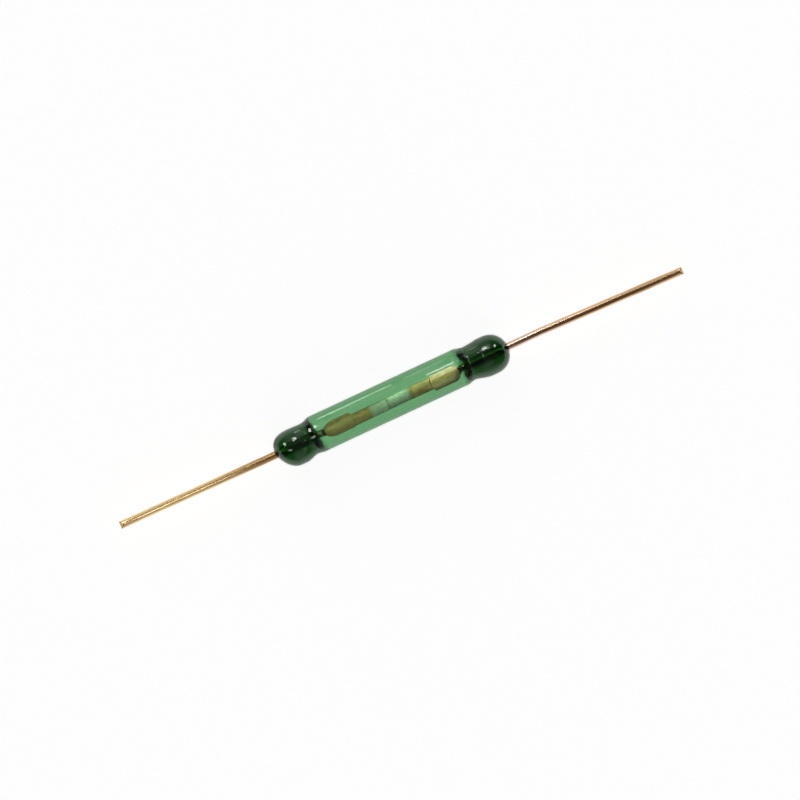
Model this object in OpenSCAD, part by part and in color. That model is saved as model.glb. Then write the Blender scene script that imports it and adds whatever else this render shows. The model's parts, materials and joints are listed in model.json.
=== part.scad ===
// Glass reed switch: two plated reeds sealed in a green glass capsule, contacts open at rest.
// The origin is on the tube's axis at the middle of the capsule. +X runs along the capsule
// towards the right lead, and +Z is square to the flat blades, on the side of the right reed.

/* [Glass capsule] */
// Overall length of the glass capsule
capsule_len = 14.1; // [12:0.1:20]
// Outside diameter of the glass tube
tube_d = 2.16; // [1.9:0.01:2.8]
// Thickness of the tube's wall
wall = 0.28; // [0.15:0.01:0.36]
// Length of solid glass at the left end
left_seal_len = 2.19; // [2.1:0.01:2.9]
// Length of solid glass at the right end
right_seal_len = 2.22; // [2.1:0.01:2.9]
// Radius of the rounding at the left end of the hollow
left_hollow_round = 0.38; // [0.1:0.01:0.5]
// Radius of the rounding at the right end of the hollow
right_hollow_round = 0.62; // [0.1:0.01:0.65]

/* [Sealed ends] */
// How much wider the left bulb is than the tube
left_bulb_extra = -0.02; // [-0.1:0.01:0.3]
// How much wider the right bulb is than the tube
right_bulb_extra = 0.08; // [-0.1:0.01:0.3]
// Straight length round the middle of each bulb
bulb_land = 0.12; // [0.05:0.01:0.2]
// Slope of the left bulb's back, down to its neck
left_bulb_taper = 8; // [5:0.5:14]
// Slope of the right bulb's back, down to its neck
right_bulb_taper = 10.5; // [5:0.5:14]
// Distance from the left end of the glass to its neck
left_neck_at = 2.11; // [1.9:0.01:2.3]
// Distance from the right end of the glass to its neck
right_neck_at = 2.31; // [2:0.01:2.5]
// Distance from the left end of the glass to where the tube starts to draw in
left_shoulder_at = 2.58; // [2.3:0.01:2.8]
// Distance from the right end of the glass to where the tube starts to draw in
right_shoulder_at = 2.89; // [2.5:0.01:3]
// Radius of the rounding where the tube starts to draw in
shoulder_r = 0.8; // [0.3:0.05:1.2]
// Slope of the drawn-in shoulder
shoulder_slope = 18; // [12:1:30]
// Angle by which the left end sagged from its shoulder while soft
left_sag = 5.3; // [0:0.1:8]
// Angle by which the right end sagged from its shoulder while soft
right_sag = 2.2; // [0:0.1:8]
// Radius of the fuller glass above the left lead
nose_r = 0.9; // [0.8:0.01:0.9]
// Distance from the left end of the glass to the middle of that fuller glass
nose_at = 0.91; // [0.9:0.01:1]
// How far the middle of that fuller glass lies above the tube's axis, towards +Y
nose_up = 0.05; // [0:0.01:0.1]

/* [Lead wires] */
// Diameter of the reed wire
wire_d = 0.44; // [0.3:0.01:0.6]
// Length of the left lead outside the glass
left_lead_len = 9.4; // [4:0.05:20]
// Length of the right lead outside the glass
right_lead_len = 10.5; // [4:0.05:20]
// How far the reeds lie below the tube's axis, towards -Y
reed_drop = 0.08; // [0:0.01:0.1]
// Distance from the glass to the slight bend in the left lead
left_bend_at = 0.45; // [0.2:0.05:3]
// Distance from the glass to the slight bend in the right lead
right_bend_at = 1.85; // [0.2:0.05:3]
// Angle of the bend in the left lead, towards -Y
left_bend = -0.6; // [-3:0.1:3]
// Angle of the bend in the right lead, towards -Y
right_bend = 1.75; // [-3:0.05:3]
// Radius of the bends along the middle of the wire
bend_r = 6; // [2:0.5:12]
// Length of the pinched bevels at the cut end of each lead
cut_len = 0.16; // [0.05:0.01:0.3]
// Thickness left between the bevels at the cut end
cut_land = 0.14; // [0.05:0.01:0.25]

/* [Reed blades] */
// Gap between the open contacts
contact_gap = 0.1; // [0.05:0.01:0.2]
// Length over which the two blades overlap
overlap = 0.5; // [0.3:0.05:1]
// Free round wire between the left seal and the root of its spring
left_shank_len = 0.82; // [0.4:0.01:1]
// Free round wire between the right seal and the root of its spring
right_shank_len = 0.79; // [0.35:0.01:1]
// Length over which the round wire is pressed flat, at the end of the free wire
press_len = 0.22; // [0.1:0.01:0.3]
// Length of the flat spring from its root to the middle of its curved front
spring_len = 1.72; // [1.2:0.01:2]
// Width of the flat spring
spring_w = 0.92; // [0.7:0.01:1]
// Thickness of the flat spring
spring_t = 0.165; // [0.1:0.005:0.2]
// Width of the contact blade
blade_w = 0.7; // [0.5:0.01:0.8]
// Thickness of the contact blade
blade_t = 0.215; // [0.15:0.005:0.25]
// Radius of the corners at the blade's tip
tip_round = 0.07; // [0.02:0.01:0.2]
// How far the left spring lies off its wire, towards -Y
left_spring_off = 0.02; // [0:0.01:0.1]
// How far the right spring lies off its wire, towards -Y
right_spring_off = 0.07; // [0:0.01:0.1]
// How far the left contact blade lies off its wire, towards -Y
left_blade_off = 0.08; // [0:0.01:0.1]
// How far the right contact blade lies off its wire, towards -Y
right_blade_off = 0.05; // [0:0.01:0.1]

/* [Hidden] */
$fn = 96;

tube_r = tube_d / 2;
wire_r = wire_d / 2;
half_len = capsule_len / 2;
left_hollow_end = half_len - left_seal_len;
right_hollow_end = half_len - right_seal_len;
left_root = left_hollow_end - left_shank_len;
right_root = right_hollow_end - right_shank_len;
// The blades lie on either side of the gap, so each is off the wire's axis by this much
blade_z = (contact_gap + blade_t) / 2;
// How far the shoulder and the bulb's back run on into each other past the neck
neck_lap = 0.5;
// The curved front of the spring is an arc as wide as the spring itself
front_r = spring_w;
// Thickness of the slices between which the pressed transition is stretched
loft_slice = 0.01;
// How far cutting shapes reach past what they cut
past = 1;

glass_green = [0.22, 0.45, 0.3, 0.55];
lead_copper = [0.78, 0.56, 0.36];
blade_gold = [0.72, 0.64, 0.36];

// Turns a shape that stands along Z to lie along X
module along_x() {
    rotate([0, 90, 0]) children();
}

// Turns a right-hand shape end for end about Y, to make its left-hand twin
module end_for_end() {
    rotate([0, 180, 0]) children();
}

// Short round bend that starts at the origin along X and turns towards -Y
module bend(angle, radius, section_r) {
    turn = abs(angle);
    down = angle > 0;
    if (turn > 0)
        translate([0, down ? -radius : radius, 0])
            rotate_extrude(angle = turn, start = down ? 90 - turn : 270)
                translate([radius, 0]) circle(section_r);
}

// Places what follows on from such a bend
module after_bend(angle, radius) {
    translate([radius * sin(abs(angle)), -sign(angle) * radius * (1 - cos(angle)), 0])
        rotate([0, 0, -angle]) children();
}

function bend_len(angle, radius) = radius * abs(angle) * PI / 180;

// Half-sections of the glass: radius from the axis across, distance along the axis up

// Stretch between two heights under an arc that bulges outwards
module under_arc(low, high, centre, radius) {
    intersection() {
        translate([0, low]) square([centre.x + radius + past, high - low]);
        translate(centre) circle(radius);
    }
}

// Stretch of cone between two heights
module under_slope(low, high, low_r, high_r) {
    polygon([[0, low], [low_r, low], [high_r, high], [0, high]]);
}

// Half of the tube, with the shoulder that draws it in past its neck
module tube_section(shoulder_at, neck_at) {
    full = half_len - shoulder_at;
    slope_from = full + shoulder_r * sin(shoulder_slope);
    slope_to = half_len - neck_at + neck_lap;
    slope_r = tube_r - shoulder_r * (1 - cos(shoulder_slope));
    end_r = slope_r - (slope_to - slope_from) * tan(shoulder_slope);
    square([tube_r, full]);
    translate([0, full]) square([end_r, slope_to - full]);
    under_arc(full, slope_from, [tube_r - shoulder_r, full], shoulder_r);
    under_slope(slope_from, slope_to, slope_r, end_r);
}

// Bulb from its neck at 0 outwards: a tapered back, a round shoulder, a short land and a round end
module bulb_section(neck_at, extra, taper) {
    bulb_r = tube_r + extra / 2;
    end_centre = neck_at - bulb_r;
    back_centre = end_centre - bulb_land;
    taper_to = back_centre - bulb_r * sin(taper);
    taper_r = bulb_r * cos(taper);
    under_slope(-neck_lap, taper_to, taper_r - (taper_to + neck_lap) * tan(taper), taper_r);
    under_arc(taper_to, back_centre, [0, back_centre], bulb_r);
    translate([0, back_centre]) square([bulb_r, bulb_land]);
    under_arc(end_centre, neck_at, [0, end_centre], bulb_r);
}

// Half of the hollow, with a rounded end
module hollow_section(end_at, round_r) {
    bore_r = tube_r - wall;
    square([bore_r, end_at - round_r]);
    square([bore_r - round_r, end_at]);
    translate([bore_r - round_r, end_at - round_r])
        intersection() {
            circle(round_r);
            square(round_r);
        }
}

// Right-hand bulb, tilted about the start of its shoulder
module sealed_end(shoulder_at, neck_at, extra, taper, sag) {
    translate([half_len - shoulder_at, 0, 0])
        rotate([0, 0, -sag])
            translate([shoulder_at - neck_at, 0, 0])
                along_x() rotate_extrude() bulb_section(neck_at, extra, taper);
}

module glass_envelope() {
    color(glass_green)
        difference() {
            union() {
                along_x() rotate_extrude() {
                    tube_section(right_shoulder_at, right_neck_at);
                    mirror([0, 1]) tube_section(left_shoulder_at, left_neck_at);
                }
                sealed_end(right_shoulder_at, right_neck_at, right_bulb_extra, right_bulb_taper, right_sag);
                end_for_end()
                    sealed_end(left_shoulder_at, left_neck_at, left_bulb_extra, left_bulb_taper, left_sag);
                translate([nose_at - half_len, nose_up, 0]) sphere(nose_r);
            }
            along_x() rotate_extrude() {
                hollow_section(right_hollow_end, right_hollow_round);
                mirror([0, 1]) hollow_section(left_hollow_end, left_hollow_round);
            }
            translate([-half_len - past, -reed_drop, 0])
                along_x() cylinder(d = wire_d, h = capsule_len + 2 * past);
        }
}

// Straight wire along X whose far end is pinched off by side cutters
module cut_wire(length) {
    difference() {
        along_x() cylinder(d = wire_d, h = length);
        for (side = [-1, 1])
            rotate([90, 0, 0])
                linear_extrude(height = 2 * wire_d, center = true)
                    polygon([
                        [length - cut_len, side * wire_r],
                        [length + cut_len, side * (cut_land - wire_r)],
                        [length + cut_len, side * wire_d],
                        [length - cut_len, side * wire_d]
                    ]);
    }
}

// Right-hand lead: the pressed end inside the glass, the sealed wire and the bent outer wire
module lead(root, length, bend_at, bend_angle, spring_off) {
    round_at = root + press_len;
    bent_at = half_len + bend_at;
    translate([0, -reed_drop, 0]) {
        hull() {
            translate([root, -wire_r - spring_off, blade_z - spring_t / 2])
                cube([loft_slice, wire_d, spring_t]);
            translate([round_at - loft_slice, 0, 0])
                along_x() cylinder(d = wire_d, h = loft_slice, $fn = 32);
        }
        translate([round_at - loft_slice, 0, 0])
            along_x() cylinder(d = wire_d, h = bent_at - round_at + loft_slice);
        translate([bent_at, 0, 0]) {
            bend(bend_angle, bend_r, wire_r);
            after_bend(bend_angle, bend_r)
                cut_wire(length - bend_at - bend_len(bend_angle, bend_r));
        }
    }
}

// Outline of the spring: as wide as the wire at its root, swelling to full width, with a curved front
module spring_plan(root) {
    corner_r = (spring_w - wire_d) / 2;
    front = root - spring_len;
    intersection() {
        union() {
            translate([front, -spring_w / 2]) square([spring_len - corner_r, spring_w]);
            translate([root - 2 * corner_r, -wire_r]) square([2 * corner_r, wire_d]);
            for (side = [-1, 1])
                translate([root - corner_r, side * wire_r]) circle(corner_r);
        }
        union() {
            translate([front + front_r, 0]) circle(front_r);
            translate([front + front_r / 2, -spring_w]) square([spring_len, 2 * spring_w]);
        }
    }
}

// Outline of the contact blade: from the spring's curved front to rounded corners at the tip
module blade_plan(root, spring_off, blade_off) {
    front = root - spring_len;
    tip = -overlap / 2;
    difference() {
        translate([0, -blade_off]) {
            translate([tip + tip_round, -blade_w / 2])
                square([front + front_r / 2 - tip - tip_round, blade_w]);
            translate([tip, tip_round - blade_w / 2])
                square([2 * tip_round, blade_w - 2 * tip_round]);
            for (side = [-1, 1])
                translate([tip + tip_round, side * (blade_w / 2 - tip_round)]) circle(tip_round);
        }
        translate([front + front_r, -spring_off]) circle(front_r);
    }
}

// Right-hand blade: thin spring and thicker contact blade on one middle plane
module blade(root, spring_off, blade_off) {
    translate([0, -reed_drop, blade_z]) {
        linear_extrude(height = spring_t, center = true)
            translate([0, -spring_off]) spring_plan(root);
        linear_extrude(height = blade_t, center = true) blade_plan(root, spring_off, blade_off);
    }
}

module left_lead() {
    color(lead_copper)
        end_for_end() lead(left_root, left_lead_len, left_bend_at, left_bend, left_spring_off);
}

module right_lead() {
    color(lead_copper) lead(right_root, right_lead_len, right_bend_at, right_bend, right_spring_off);
}

module left_blade() {
    color(blade_gold) end_for_end() blade(left_root, left_spring_off, left_blade_off);
}

module right_blade() {
    color(blade_gold) blade(right_root, right_spring_off, right_blade_off);
}

glass_envelope();
left_lead();
left_blade();
right_lead();
right_blade();
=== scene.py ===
# Glass reed switch: the looks of its glass, leads and blades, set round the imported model.
# Shapes are worked out in millimetres in the model's own frame and turned into metres in their meshes.
import json
import math

import bpy
import numpy as np
from mathutils import Matrix, Vector

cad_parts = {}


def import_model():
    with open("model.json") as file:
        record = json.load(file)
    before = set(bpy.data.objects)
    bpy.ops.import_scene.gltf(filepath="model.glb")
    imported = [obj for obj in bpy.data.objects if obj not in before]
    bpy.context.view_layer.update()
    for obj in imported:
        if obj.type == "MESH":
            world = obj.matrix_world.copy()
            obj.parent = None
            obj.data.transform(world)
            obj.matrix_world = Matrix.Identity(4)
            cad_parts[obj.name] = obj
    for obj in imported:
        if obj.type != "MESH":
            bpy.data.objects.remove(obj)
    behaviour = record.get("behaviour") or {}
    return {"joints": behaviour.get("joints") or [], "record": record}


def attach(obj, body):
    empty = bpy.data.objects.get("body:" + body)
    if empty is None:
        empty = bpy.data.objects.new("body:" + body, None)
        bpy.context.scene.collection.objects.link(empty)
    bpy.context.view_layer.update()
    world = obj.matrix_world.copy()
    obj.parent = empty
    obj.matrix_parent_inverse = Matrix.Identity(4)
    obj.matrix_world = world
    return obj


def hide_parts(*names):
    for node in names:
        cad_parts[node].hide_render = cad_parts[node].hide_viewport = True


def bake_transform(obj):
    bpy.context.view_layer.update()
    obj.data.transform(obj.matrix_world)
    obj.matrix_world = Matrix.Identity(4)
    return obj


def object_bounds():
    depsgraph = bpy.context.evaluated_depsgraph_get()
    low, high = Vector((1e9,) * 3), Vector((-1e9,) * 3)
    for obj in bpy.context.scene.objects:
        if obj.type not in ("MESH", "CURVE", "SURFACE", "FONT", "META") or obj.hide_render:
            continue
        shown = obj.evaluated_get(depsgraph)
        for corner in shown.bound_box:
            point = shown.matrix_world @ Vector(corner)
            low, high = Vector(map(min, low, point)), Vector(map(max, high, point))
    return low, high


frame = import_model()
cad_low, cad_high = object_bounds()

MM = 0.001

mounts = {mount["name"]: mount for mount in frame["record"]["mounts"]}
joints = {joint["name"]: joint for joint in frame["joints"]}

# Glass capsule, in mm
tube_r = mounts["glass_body"]["dims"]["r_mm"]
half_len = 7.05
wall = 0.28
bore_r = tube_r - wall
shoulder_r = 0.8
shoulder_slope = math.radians(18)
bulb_land = 0.28
# Spread of the smooth cove between shoulder and bulb
neck_cove = 0.1
# Glass that creeps along the wire where it leaves a surface: height and spread
meniscus_h = 0.03
meniscus_w = 0.04

# Reeds, in mm
wire_r = mounts["right_lead"]["dims"]["r_mm"]
reed_drop = -joints["right_reed_bend"]["pos_m"][1] / MM
blade_z = joints["right_reed_bend"]["pos_m"][2] / MM
bend_r = 6.0
cut_len = 0.16
cut_half = 0.07
press_len = 0.22
overlap = 0.5
spring_len = 1.72
spring_half_w = 0.46
spring_half_t = 0.0825
blade_half_w = 0.35
blade_half_t = 0.1075
tip_round = 0.07
# How far the pressed sides bulge, the rounding of the tip's edge and the length of the step
side_bulge = 0.05
tip_edge = 0.045
step_len = 0.024
front_r = 2 * spring_half_w
front_fade = 0.35
roll_fade = 0.28

# What differs between the two ends, in mm and degrees; the left end is the right one turned about Y
ENDS = {
    "right": dict(
        sign=1, shoulder_at=2.89, belly=5.925, pole=7.06, blunt=2.15, bulb_r=tube_r + 0.04, taper=10.5,
        drop=0.068, drop_from=4.5, drop_to=5.4, lift=0.0,
        seal_len=2.22, hollow_round=0.75, hollow_blunt=1.5, round_skew=0.0,
        root=abs(joints["right_reed_bend"]["pos_m"][0]) / MM, lead_len=10.5, bend_at=1.85, bend=1.75,
        root_round=0.36, root_blunt=1.7, spring_off=0.07, blade_off=0.05, roll=7.0, crown=0.027,
    ),
    "left": dict(
        sign=-1, shoulder_at=2.58, belly=5.93, pole=7.04, blunt=2.05, bulb_r=tube_r - 0.01, taper=10,
        drop=0.131, drop_from=4.62, drop_to=5.57, lift=0.19,
        seal_len=2.19, hollow_round=0.55, hollow_blunt=2.0, round_skew=0.33,
        root=abs(joints["left_reed_bend"]["pos_m"][0]) / MM, lead_len=9.4, bend_at=0.45, bend=-0.6,
        root_round=0.56, root_blunt=1.6, spring_off=0.02, blade_off=0.08, roll=0.0, crown=0.008,
    ),
}


def smooth(t):
    """Eased step from 0 to 1."""
    t = np.clip(t, 0.0, 1.0)
    return t * t * (3 - 2 * t)


def mesh_object(name, points_mm, faces, sharp_deg=None):
    """Object at the origin from points in mm."""
    mesh = bpy.data.meshes.new(name)
    mesh.from_pydata((np.asarray(points_mm) * MM).tolist(), [], faces)
    mesh.validate()
    mesh.shade_smooth()
    if sharp_deg is not None:
        mesh.set_sharp_from_angle(angle=math.radians(sharp_deg))
    obj = bpy.data.objects.new(name, mesh)
    bpy.context.scene.collection.objects.link(obj)
    return obj


def sheet(name, half_x, half_y):
    """Flat rectangle about the origin, its half sizes in mm."""
    corners = [(-half_x, -half_y, 0), (half_x, -half_y, 0), (half_x, half_y, 0), (-half_x, half_y, 0)]
    return mesh_object(name, corners, [(0, 1, 2, 3)])


def skin(rings, first=0):
    """Points and faces of a closed skin over rings of equal count, with a fan over each end."""
    rings = np.asarray(rings, float)
    count, around = rings.shape[:2]
    points = np.concatenate([rings.reshape(-1, 3), rings[0].mean(0)[None], rings[-1].mean(0)[None]])
    faces = []
    for i in range(count - 1):
        for j in range(around):
            k = (j + 1) % around
            faces.append((i * around + j, i * around + k, (i + 1) * around + k, (i + 1) * around + j))
    start_mid, end_mid = count * around, count * around + 1
    last = (count - 1) * around
    for j in range(around):
        k = (j + 1) % around
        faces.append((start_mid, k, j))
        faces.append((end_mid, last + j, last + k))
    return points, [tuple(first + v for v in face) for face in faces]


# Glass

GLASS_AROUND = 144
# Round ends stop just short of their pole, where a fan closes them
NEAR_POLE = math.radians(89)


def tube_radius(s, end):
    """Radius of the straight tube and its drawn-in shoulder, s from the middle of the capsule."""
    start = half_len - end["shoulder_at"]
    slope_from = start + shoulder_r * math.sin(shoulder_slope)
    if s <= start:
        return tube_r
    if s <= slope_from:
        return tube_r - shoulder_r + math.sqrt(shoulder_r**2 - (s - start) ** 2)
    return tube_r - shoulder_r * (1 - math.cos(shoulder_slope)) - (s - slope_from) * math.tan(shoulder_slope)


def bulb_radius(s, end):
    """Radius of the bulb: tapered back, round shoulder, short land and blunt round end."""
    r = end["bulb_r"]
    taper = math.radians(end["taper"])
    back_centre = end["belly"] - bulb_land
    taper_to = back_centre - r * math.sin(taper)
    if s < taper_to:
        return r * math.cos(taper) - (taper_to - s) * math.tan(taper)
    if s < back_centre:
        return math.sqrt(r**2 - (s - back_centre) ** 2)
    if s < end["belly"]:
        return r
    share = min((s - end["belly"]) / (end["pole"] - end["belly"]), 1.0)
    return r * (1 - share ** end["blunt"]) ** (1 / end["blunt"])


def glass_radius(s, end):
    """Outer radius, with a smooth cove at the neck."""
    if s > end["belly"] - bulb_land:
        return bulb_radius(s, end)
    tube, bulb = tube_radius(s, end), bulb_radius(s, end)
    near = max(neck_cove - abs(tube - bulb), 0.0) / neck_cove
    return max(tube, bulb) + near**2 * neck_cove / 4


def glass_axis(s, end):
    """Height of the glass's middle line, which drops past the shoulder and may lift towards the pole."""
    drop = end["drop"] * smooth((s - end["drop_from"]) / (end["drop_to"] - end["drop_from"]))
    return end["lift"] * max(s - end["belly"], 0.0) ** 2 - drop


def creep(points, sign):
    """Glass creeping along the wire, added to points on an end face."""
    from_wire = np.hypot(points[:, 1] + reed_drop, points[:, 2])
    points[:, 0] += sign * meniscus_h * np.exp(-np.maximum(from_wire - wire_r, 0) / meniscus_w)


def outer_rings(end):
    """Rings of the outer surface from the middle of the capsule to one pole."""
    angle = np.linspace(0, 2 * math.pi, GLASS_AROUND, endpoint=False)
    full = half_len - end["shoulder_at"]
    stations = np.concatenate([
        np.linspace(0, full, 14)[1:-1],
        np.linspace(full, end["belly"], 100)[:-1],
        end["belly"] + (end["pole"] - end["belly"]) * np.sin(np.linspace(0, NEAR_POLE, 70)),
    ])
    rings = []
    for s in stations:
        r = glass_radius(s, end)
        y = glass_axis(s, end) + r * np.cos(angle)
        ring = np.stack([np.full(GLASS_AROUND, s), y, r * np.sin(angle)], 1)
        if s > end["belly"]:
            creep(ring, 1)
        ring[:, 0] *= end["sign"]
        rings.append(ring)
    return rings


def hollow_rings(end):
    """Rings of the hollow's surface from the middle of the capsule to the middle of one end."""
    angle = np.linspace(0, 2 * math.pi, GLASS_AROUND, endpoint=False)
    end_at = half_len - end["seal_len"]
    reach = end["hollow_round"] * (1 - end["round_skew"] * np.cos(angle))
    power = 2 / end["hollow_blunt"]
    profile = []
    for share in np.linspace(0, 1, 12)[1:]:
        profile.append((share * (end_at - reach), bore_r))
    for turn in np.linspace(0, NEAR_POLE, 48)[1:]:
        profile.append((end_at - reach * (1 - math.sin(turn) ** power), bore_r * math.cos(turn) ** power))
    rings = []
    for x, r in profile:
        ring = np.stack([x, r * np.cos(angle), r * np.sin(angle)], 1)
        creep(ring, -smooth(np.min(x) - end_at + 1))
        ring[:, 0] *= end["sign"]
        rings.append(ring)
    return rings


def capsule_glass():
    """The envelope as one closed skin outside and one inside, whose faces look into the hollow."""
    outer = outer_rings(ENDS["left"])[::-1] + outer_rings(ENDS["right"])
    inner = hollow_rings(ENDS["left"])[::-1] + hollow_rings(ENDS["right"])
    points, faces = skin(outer)
    inner_points, inner_faces = skin(inner, len(points))
    faces += [face[::-1] for face in inner_faces]
    return mesh_object("capsule_glass", np.concatenate([points, inner_points]), faces)


# Reeds

# Points on each flat and each rounded side of a section, and the cosine at which one turns into the other
FLAT_POINTS = 12
ARC_POINTS = 28
FLAT_COS = 0.25


def section_shape():
    """Outline of a pressed wire as three lists: which side of the middle, and the cosine and sine there."""
    arc = np.linspace(-math.acos(FLAT_COS), math.acos(FLAT_COS), ARC_POINTS)
    flat = np.linspace(1, -1, FLAT_POINTS + 2)[1:-1]
    rise = np.sqrt(1 - (FLAT_COS * flat) ** 2)
    side = np.concatenate([np.ones(ARC_POINTS), flat, -np.ones(ARC_POINTS), -flat])
    cos = np.concatenate([np.cos(arc), FLAT_COS * flat, -np.cos(arc), -FLAT_COS * flat])
    sin = np.concatenate([np.sin(arc), rise, -np.sin(arc), -rise])
    return side, cos, sin


SIDE, COS, SIN = section_shape()
# Edges of a reed sharper than this stay crisp
EDGE_DEG = 32


def section(half_w, half_t, bulge):
    """Points across and through a section: a circle where all three are equal."""
    return SIDE * (half_w - bulge) + COS * bulge, SIN * half_t


def blade_sizes(x, end):
    """Half width and half thickness of the flat stretch at x."""
    root, tip = end["root"], -overlap / 2
    front = root - spring_len
    step = smooth((x - front) / step_len)
    half_w = blade_half_w + (spring_half_w - blade_half_w) * step
    half_t = blade_half_t + (spring_half_t - blade_half_t) * step
    from_tip = x - tip
    if from_tip < tip_round:
        half_w -= tip_round - math.sqrt(tip_round**2 - (tip_round - from_tip) ** 2)
    if from_tip < tip_edge:
        half_t -= tip_edge - math.sqrt(tip_edge**2 - (tip_edge - from_tip) ** 2)
    into_root = x - (root - end["root_round"])
    if into_root > 0:
        share = min(into_root / end["root_round"], 1.0)
        half_w = wire_r + (half_w - wire_r) * (1 - share ** end["root_blunt"]) ** (1 / end["root_blunt"])
    return half_w, half_t


def blade_rings(end):
    """Rings of the blade from its tip to the root of its spring."""
    root, tip = end["root"], -overlap / 2
    front = root - spring_len
    swell = root - end["root_round"]
    stations = np.concatenate([
        tip + tip_round * (1 - np.cos(np.linspace(0, math.pi / 2, 14))),
        np.linspace(tip + tip_round, front, 40)[1:-1],
        np.linspace(front, front + step_len, 9),
        np.linspace(front + step_len, swell, 30)[1:-1],
        swell + end["root_round"] * np.sin(np.linspace(0, math.pi / 2, 24)),
    ])
    rings = []
    for x in stations:
        half_w, half_t = blade_sizes(x, end)
        y, z = section(half_w, half_t, side_bulge)
        z = z * (1 - end["crown"] / half_t * (y / half_w) ** 2)
        bow = smooth(1 - abs(x - front) / front_fade) * (front_r - np.sqrt(front_r**2 - y**2))
        roll = math.radians(end["roll"]) * smooth((x - front + front_fade) / front_fade)
        roll *= smooth((root - x) / roll_fade)
        off = end["blade_off"] + (end["spring_off"] - end["blade_off"]) * smooth((x - front) / step_len)
        rings.append(np.stack([x + bow, y - reed_drop - off, z + blade_z - math.tan(roll) * y], 1))
    return rings


def along_lead(s, end):
    """Place and turn of the wire's middle line, s from the root of the spring."""
    bend_from = half_len + end["bend_at"] - end["root"]
    if s <= bend_from:
        return end["root"] + s, 0.0, 0.0
    bend = math.radians(end["bend"])
    bend_len = bend_r * abs(bend)
    share = min((s - bend_from) / bend_len, 1.0)
    turn = bend * share
    rest = max(s - bend_from - bend_len, 0.0)
    x = end["root"] + bend_from + bend_r * math.sin(abs(turn)) + rest * math.cos(turn)
    y = -math.copysign(bend_r * (1 - math.cos(turn)), bend) - rest * math.sin(turn)
    return x, y, turn


def lead_rings(end):
    """Rings of the lead from the root of the spring to its pinched cut."""
    length = half_len - end["root"] + end["lead_len"]
    bend_from = half_len + end["bend_at"] - end["root"]
    bend_len = bend_r * math.radians(abs(end["bend"]))
    stations = np.concatenate([
        np.linspace(0, press_len, 22),
        np.linspace(press_len, bend_from, 30)[1:-1],
        np.linspace(bend_from, bend_from + bend_len, 12),
        np.linspace(bend_from + bend_len, length - cut_len, 30)[1:],
        np.linspace(length - cut_len, length, 8)[1:],
    ])
    rings = []
    for s in stations:
        x, y_mid, turn = along_lead(s, end)
        pressed = 1 - smooth(s / press_len)
        half_t = wire_r + (spring_half_t - wire_r) * pressed
        y, z = section(wire_r, half_t, wire_r + (side_bulge - wire_r) * pressed)
        pinch = wire_r - (wire_r - cut_half) * max(s - length + cut_len, 0.0) / cut_len
        z = np.clip(z, -pinch, pinch) + blade_z * pressed
        y = y - end["spring_off"] * pressed
        rings.append(np.stack([x + y * math.sin(turn), y_mid + y * math.cos(turn) - reed_drop, z], 1))
    return rings


def reed_piece(name, rings, end):
    """One stretch of a reed, turned end for end on the left."""
    points, faces = skin(rings)
    if end["sign"] < 0:
        points *= (-1, 1, -1)
    faces = [face[::-1] for face in faces]
    return mesh_object(name, points, faces, sharp_deg=EDGE_DEG)


# Materials

WHITE = (1, 1, 1, 1)


def new_material(name):
    """Material with its principled shader and an output, and the tree to add to."""
    material = bpy.data.materials.new(name)
    material.use_nodes = True
    return material, material.node_tree, material.node_tree.nodes["Principled BSDF"]


def add(tree, kind, inputs=None, **settings):
    """New node with plain settings, and inputs given as values or as sockets to link."""
    node = tree.nodes.new(kind)
    for key, value in settings.items():
        setattr(node, key, value)
    for key, value in (inputs or {}).items():
        if isinstance(value, bpy.types.NodeSocket):
            tree.links.new(value, node.inputs[key])
        else:
            node.inputs[key].default_value = value
    return node


def place_mm(tree, stretch=(1, 1, 1)):
    """Position on the object in mm, stretched along each axis."""
    inputs = {0: add(tree, "ShaderNodeTexCoord").outputs["Object"], 1: Vector(stretch) / MM}
    return add(tree, "ShaderNodeVectorMath", inputs, operation="MULTIPLY").outputs[0]


def noise(tree, stretch, scale, detail):
    """Noise over the object, its scale in features per mm."""
    inputs = {"Vector": place_mm(tree, stretch), "Scale": scale, "Detail": detail, "Roughness": 0.55}
    return add(tree, "ShaderNodeTexNoise", inputs).outputs["Fac"]


def ramp(tree, value, low, high, to_low=0.0, to_high=1.0):
    """Value mapped smoothly from one range to another."""
    inputs = {"Value": value, "From Min": low, "From Max": high, "To Min": to_low, "To Max": to_high}
    return add(tree, "ShaderNodeMapRange", inputs, interpolation_type="SMOOTHSTEP").outputs["Result"]


def mix(tree, factor, first, second):
    """Mix of two colours, each a value or a socket."""
    node = add(tree, "ShaderNodeMix", data_type="RGBA")
    for socket, value in ((node.inputs[0], factor), (node.inputs[6], first), (node.inputs[7], second)):
        if isinstance(value, bpy.types.NodeSocket):
            tree.links.new(value, socket)
        else:
            socket.default_value = value
    return node.outputs[2]


def combine(tree, first, second, operation="ADD"):
    """Two numbers added, or combined by another operation."""
    return add(tree, "ShaderNodeMath", {0: first, 1: second}, operation=operation).outputs[0]


def times(tree, first, second):
    """Product of two numbers."""
    return combine(tree, first, second, "MULTIPLY")


def unsigned(tree, value):
    """Number without its sign."""
    return add(tree, "ShaderNodeMath", {0: value}, operation="ABSOLUTE").outputs[0]


def shaded(colour, factor):
    """Darker copy of a colour."""
    return tuple(factor * c for c in colour[:3]) + (1,)


def bump(tree, height, distance_mm, strength=1.0):
    """Bump normal from a height."""
    inputs = {"Height": height, "Distance": distance_mm * MM, "Strength": strength}
    return add(tree, "ShaderNodeBump", inputs).outputs["Normal"]


# What green glass takes out of light in red, green and blue, per mm
GLASS_TAKES = (3.3, 1.63, 3.02)
GLASS_DENSITY = 3.6


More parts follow.
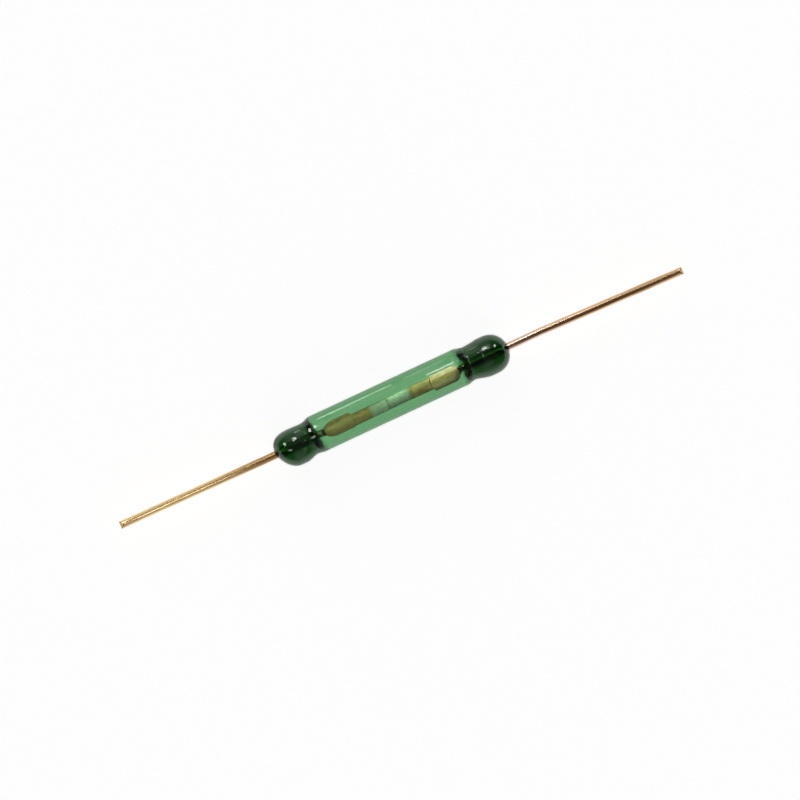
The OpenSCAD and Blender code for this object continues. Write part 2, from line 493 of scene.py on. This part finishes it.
def green_glass():
    """Clear green glass, a little wavy from the flame."""
    material, tree, shader = new_material("green_glass")
    shader.inputs["Base Color"].default_value = WHITE
    shader.inputs["Roughness"].default_value = 0.0
    shader.inputs["IOR"].default_value = 1.5
    shader.inputs["Transmission Weight"].default_value = 1.0
    waves = noise(tree, (0.6, 1, 1), 1.1, detail=1.0)
    tree.links.new(bump(tree, waves, 0.0012), shader.inputs["Normal"])
    keeps = tuple(1 - takes / GLASS_DENSITY for takes in GLASS_TAKES) + (1,)
    volume = add(tree, "ShaderNodeVolumeAbsorption", {"Color": keeps, "Density": GLASS_DENSITY / MM})
    tree.links.new(volume.outputs["Volume"], tree.nodes["Material Output"].inputs["Volume"])
    return material


# Dark oxide on the wire in the glass, and the stretches over which it ends and the heat tint fades, in mm
OXIDE = (0.3, 0.22, 0.14, 1)
OXIDE_SPOTS = (0.45, 0.34, 0.22, 1)
OXIDE_END = (6.85, 7.15)
HEAT_FADE = (7.0, 12.5)


def lead_plating(name, sign, bright, dull, heated, rough):
    """Drawn wire, thinly plated with copper-gold: streaks, dull patches, a heat tint and dark oxide."""
    material, tree, shader = new_material(name)
    shader.inputs["Metallic"].default_value = 1.0
    along = add(tree, "ShaderNodeSeparateXYZ", {0: place_mm(tree, (sign, 1, 1))}).outputs["X"]
    streaks = noise(tree, (0.12, 12, 12), 1.0, detail=1.0)
    patches = noise(tree, (0.7, 1.5, 1.5), 0.8, detail=4.0)
    grain = noise(tree, (6, 16, 16), 1.0, detail=2.0)
    dulled = ramp(tree, combine(tree, patches, times(tree, streaks, 0.5)), 0.62, 1.02)
    plain = mix(tree, dulled, bright, dull)
    warmed = mix(tree, ramp(tree, along, *HEAT_FADE, 0.85, 0.0), plain, heated)
    sealed = combine(tree, along, times(tree, patches, 0.25))
    oxide = ramp(tree, sealed, *OXIDE_END, 1.0, 0.0)
    spots = ramp(tree, grain, 0.45, 0.62)
    dark = mix(tree, spots, OXIDE, OXIDE_SPOTS)
    tree.links.new(mix(tree, oxide, warmed, dark), shader.inputs["Base Color"])
    worn = ramp(tree, dulled, 0.0, 1.0, rough, rough + 0.12)
    polish = ramp(tree, oxide, 0.0, 1.0, 1.0, 0.45)
    tree.links.new(times(tree, worn, polish), shader.inputs["Roughness"])
    tree.links.new(bump(tree, streaks, 0.002, 0.04), shader.inputs["Normal"])
    return material


SILVER = (0.89, 0.66, 0.71, 1)
GOLD_STAIN = (0.68, 0.25, 0.1, 1)
GOLD_TINT = (0.62, 0.26, 0.08, 1)
# Half the soft line between gold and silver, its raggedness, and the start and end of the tint, in mm
LINE_HALF = 0.16
LINE_RAGGED = 0.24
TINT_FROM = 0.3
TINT_TO = 0.04


def blade_plating(name, sign, gold, silver_at, rough):
    """Satin gold over the spring, silvery from silver_at to the contact, with a ragged line between."""
    material, tree, shader = new_material(name)
    shader.inputs["Metallic"].default_value = 1.0
    along = add(tree, "ShaderNodeSeparateXYZ", {0: place_mm(tree)}).outputs["X"]
    ragged = noise(tree, (1, 1, 1), 5.0, detail=4.0)
    edge = combine(tree, along, times(tree, ragged, LINE_RAGGED))
    zone = ramp(tree, edge, silver_at + sign * LINE_HALF, silver_at - sign * LINE_HALF)
    mottle = noise(tree, (1, 1.6, 1.6), 4.0, detail=5.0)
    brushed = noise(tree, (2, 26, 26), 1.0, detail=3.0)
    dulled = ramp(tree, mottle, 0.35, 0.68)
    gold_mix = mix(tree, dulled, gold, shaded(gold, 0.78))
    silver_mix = mix(tree, dulled, SILVER, shaded(SILVER, 0.8))
    stain = ramp(tree, noise(tree, (1, 1.4, 1.4), 1.8, detail=5.0), 0.42, 0.62, 0.0, 0.25)
    gold_mix = mix(tree, stain, gold_mix, GOLD_STAIN)
    tinted = ramp(tree, edge, silver_at + sign * TINT_FROM, silver_at + sign * TINT_TO, 0.0, 0.6)
    gold_mix = mix(tree, tinted, gold_mix, GOLD_TINT)
    tree.links.new(mix(tree, zone, gold_mix, silver_mix), shader.inputs["Base Color"])
    worn = ramp(tree, mottle, 0.3, 0.7, rough - 0.06, rough + 0.08)
    tree.links.new(worn, shader.inputs["Roughness"])
    height = combine(tree, brushed, mottle)
    tree.links.new(bump(tree, height, 0.003, 0.5), shader.inputs["Normal"])
    return material


# Pieces

glass = capsule_glass()
glass.data.materials.append(green_glass())
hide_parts("glass_envelope")
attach(glass, "capsule")

LEAD_LOOKS = {
    "left": dict(
        bright=(0.97, 0.7, 0.36, 1), dull=(0.82, 0.56, 0.27, 1), heated=(0.42, 0.235, 0.09, 1), rough=0.22
    ),
    "right": dict(
        bright=(0.82, 0.54, 0.31, 1), dull=(0.61, 0.37, 0.18, 1), heated=(0.78, 0.57, 0.47, 1), rough=0.2
    ),
}
BLADE_LOOKS = {
    "left": dict(gold=(0.79, 0.32, 0.155, 1), silver_at=-1.17, rough=0.42),
    # The right blade's gold is set lighter and paler than the left's: partly the plating's own colour, partly
    # painted light, a painted highlight for the glare that falls on this blade.
    "right": dict(gold=(1.0, 0.41, 0.24, 1), silver_at=1.18, rough=0.36),
}

for side, end in ENDS.items():
    lead = reed_piece(f"{side}_lead_wire", lead_rings(end), end)
    lead.data.materials.append(lead_plating(f"{side}_lead_plating", end["sign"], **LEAD_LOOKS[side]))
    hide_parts(f"{side}_lead")
    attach(lead, "capsule")

    blade = reed_piece(f"{side}_contact_blade", blade_rings(end), end)
    blade.data.materials.append(blade_plating(f"{side}_blade_plating", end["sign"], **BLADE_LOOKS[side]))
    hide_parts(f"{side}_blade")
    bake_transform(blade)


# Studio

# Half the floor's size in mm, its grey, and its own glow, which leaves room below white for the shadow
FLOOR_REACH = 600.0
FLOOR_GREY = (0.6, 0.6, 0.6, 1)
FLOOR_GLOW = 0.9
# Tints of the two panels that aren't white
COOL = (0.92, 0.96, 1, 1)
WARM = (1, 0.8, 0.5, 1)


def emission(tree, colour, strength):
    """Light of a colour and strength, each a value or a socket."""
    return add(tree, "ShaderNodeEmission", {"Color": colour, "Strength": strength}).outputs["Emission"]


def seen_directly(tree):
    """1 for rays that show a thing as it is: camera, glossy and transmitted ones."""
    path = add(tree, "ShaderNodeLightPath")
    shown = combine(tree, path.outputs["Is Camera Ray"], path.outputs["Is Glossy Ray"], "MAXIMUM")
    return combine(tree, shown, path.outputs["Is Transmission Ray"], "MAXIMUM")


def floor():
    """Pale floor under the capsule, white with a soft shadow. Gloss and glass show it too."""
    obj = sheet("floor", FLOOR_REACH, FLOOR_REACH)
    obj.location.z = cad_low.z
    material, tree, shader = new_material("floor_white")
    shader.inputs["Base Color"].default_value = FLOOR_GREY
    shader.inputs["Roughness"].default_value = 1.0
    shader.inputs["Specular IOR Level"].default_value = 0.0
    light = emission(tree, WHITE, times(tree, seen_directly(tree), FLOOR_GLOW))
    both = add(tree, "ShaderNodeAddShader", {0: shader.outputs["BSDF"], 1: light})
    tree.links.new(both.outputs[0], tree.nodes["Material Output"].inputs["Surface"])
    obj.data.materials.append(material)


def panel(
    name, centre, size, strength, aim=None, soft=0.0, colour=WHITE, in_glass_only=False, in_gloss_only=False
):
    """Flat lit panel that shows in gloss and glass only, dimmer over a soft share of its edges, in mm.

    Without an aim it faces the capsule's axis straight across from it.
    """
    centre = Vector(centre)
    half_x, half_y = size[0] / 2, size[1] / 2
    obj = sheet(name, half_x, half_y)
    look = (Vector(aim or (centre.x, 0, 0)) - centre).normalized()
    side = Vector((1, 0, 0))
    up = look.cross(side).normalized()
    turn = Matrix((side, up, side.cross(up))).transposed()
    obj.matrix_world = Matrix.LocRotScale(centre * MM, turn.to_quaternion(), None)
    material, tree, shader = new_material(name)
    tree.nodes.remove(shader)
    if soft:
        place = add(tree, "ShaderNodeSeparateXYZ", {0: place_mm(tree, (1 / half_x, 1 / half_y, 1))})
        for axis in "XY":
            out = unsigned(tree, place.outputs[axis])
            strength = times(tree, ramp(tree, out, 1 - soft, 1.0, 1.0, 0.0), strength)
    light = emission(tree, colour, strength)
    tree.links.new(light, tree.nodes["Material Output"].inputs["Surface"])
    obj.data.materials.append(material)
    obj.visible_camera = False
    obj.visible_diffuse = False
    obj.visible_shadow = False
    obj.visible_glossy = not in_glass_only
    obj.visible_transmission = not in_gloss_only


def world():
    """Even studio surround: pale below the horizon, soft on both long sides, dim overhead and at the ends."""
    made = bpy.data.worlds.new("studio")
    made.use_nodes = True
    tree = made.node_tree
    coords = add(tree, "ShaderNodeTexCoord")
    towards = add(tree, "ShaderNodeSeparateXYZ", {0: coords.outputs["Generated"]})
    long_sides = ramp(tree, unsigned(tree, towards.outputs["Y"]), 0.35, 0.9, 0.12, 0.56)
    ends = ramp(tree, unsigned(tree, towards.outputs["X"]), 0.2, 0.45, 1.0, 0.25)
    below = ramp(tree, towards.outputs["Z"], -0.04, 0.0, 0.45, 0.0)
    level = combine(tree, times(tree, long_sides, ends), below)
    background = tree.nodes["Background"]
    tree.links.new(level, background.inputs["Strength"])
    background.inputs["Color"].default_value = WHITE
    bpy.context.scene.world = made


floor()
world()

# A row of windows on the far side, thin strips low behind them, and a pale wall beside the right lead
panel("window_left", (-30.0, 25.0, 25.0), (9.0, 16.0), 14.0, aim=(-5.0, 0, 0), soft=0.2)
panel("window_mid", (3.75, 25.0, 25.0), (2.6, 12.0), 9.0, soft=0.35)
panel("window_haze", (3.7, 7.0, 25.0), (2.6, 18.0), 3.8, soft=0.6)
panel("haze_low", (3.6, -17.0, 18.5), (3.0, 18.0), 0.9, soft=0.6)
panel("window_bulb", (9.3, 25.0, 25.0), (5.6, 12.0), 13.0, soft=0.15)
panel("window_left_bulb", (-6.35, 25.0, 25.0), (1.6, 11.0), 12.0)
panel("window_right", (35.0, 25.0, 25.0), (9.0, 16.0), 14.0, aim=(5.0, 0, 0), soft=0.2)
panel("low_strip", (-2.1, 15.0, 2.1), (5.2, 2.3), 7.0, aim=(-2.1, 0, 2.1), soft=0.12, in_gloss_only=True)
panel("low_strip_long", (-7.2, 15.0, -1.75), (11.5, 0.6), 5.0, aim=(-7.2, 0, -1.75), in_gloss_only=True)
panel("low_strip_right", (2.5, 15.0, 1.5), (4.4, 4.0), 3.0, aim=(2.5, 0, 1.5), soft=0.7, in_gloss_only=True)
panel("back_soft", (0, 25.0, 12.5), (9.0, 16.0), 0.9, soft=0.3)
panel("pale_wall", (12.6, 27.0, 22.0), (10.0, 21.0), 1.75, soft=0.35, colour=COOL)
# Soft light over the blades and the sealed wire, through the glass only
panel("left_paddle_soft", (-3.4, 0, 9.0), (2.0, 5.0), 3.5, in_glass_only=True)
panel("left_soft", (-1.2, 0, 9.0), (2.4, 5.0), 1.85, in_glass_only=True)
panel("right_soft", (1.1, 3.1, 8.6), (3.4, 6.2), 5.3, soft=0.35, in_glass_only=True)
panel("right_gold_soft", (1.8, -0.3, 8.6), (1.2, 4.4), 3.4, soft=0.3, in_glass_only=True)
panel("paddle_soft", (3.2, 4.8, 8.0), (4.0, 3.2), 9.5, soft=0.5, in_glass_only=True)
panel("left_glint", (-6.35, 25.0, 25.0), (0.6, 14.0), 14.0, in_glass_only=True)
panel("left_wire_soft", (-6.5, 14.0, 13.0), (9.0, 15.0), 2.2, soft=0.3, in_glass_only=True)
panel("right_glint", (5.85, 25.0, 25.0), (0.8, 14.0), 14.0, in_glass_only=True)
panel("right_wire_soft", (6.7, 11.5, 16.4), (9.0, 21.0), 3.5, soft=0.3, in_glass_only=True)
# Soft light over the left lead, and shade over the right one
panel("left_lead_soft", (-14.1, -2.2, 16.0), (9.6, 4.2), 5.0, soft=0.6)
panel("right_lead_shade", (13.6, -22.0, 20.0), (13.0, 66.0), 0.085, aim=(13.6, -22.0, 0), colour=WARM)

# Camera straight above, turned as the photograph is
PHOTO_PX = 800
PX_PER_MM = 18.15
CAPSULE_PX = (391.2, 399.4)
TILT = math.radians(25)
right = Vector((math.cos(TILT), -math.sin(TILT), 0))
up = Vector((math.sin(TILT), math.cos(TILT), 0))
camera = bpy.data.cameras.new("camera")
camera.lens = 135
camera.sensor_width = 36
camera.clip_start = 0.001
camera.clip_end = 10
away = PHOTO_PX / PX_PER_MM * camera.lens / camera.sensor_width
centre = right * (PHOTO_PX / 2 - CAPSULE_PX[0]) / PX_PER_MM + up * (CAPSULE_PX[1] - PHOTO_PX / 2) / PX_PER_MM
camera_obj = bpy.data.objects.new("camera", camera)
bpy.context.scene.collection.objects.link(camera_obj)
turn = Matrix((right, up, Vector((0, 0, 1)))).transposed()
camera_obj.matrix_world = Matrix.LocRotScale((centre + Vector((0, 0, away))) * MM, turn.to_quaternion(), None)
bpy.context.scene.camera = camera_obj
bpy.context.scene.view_settings.view_transform = "Standard"
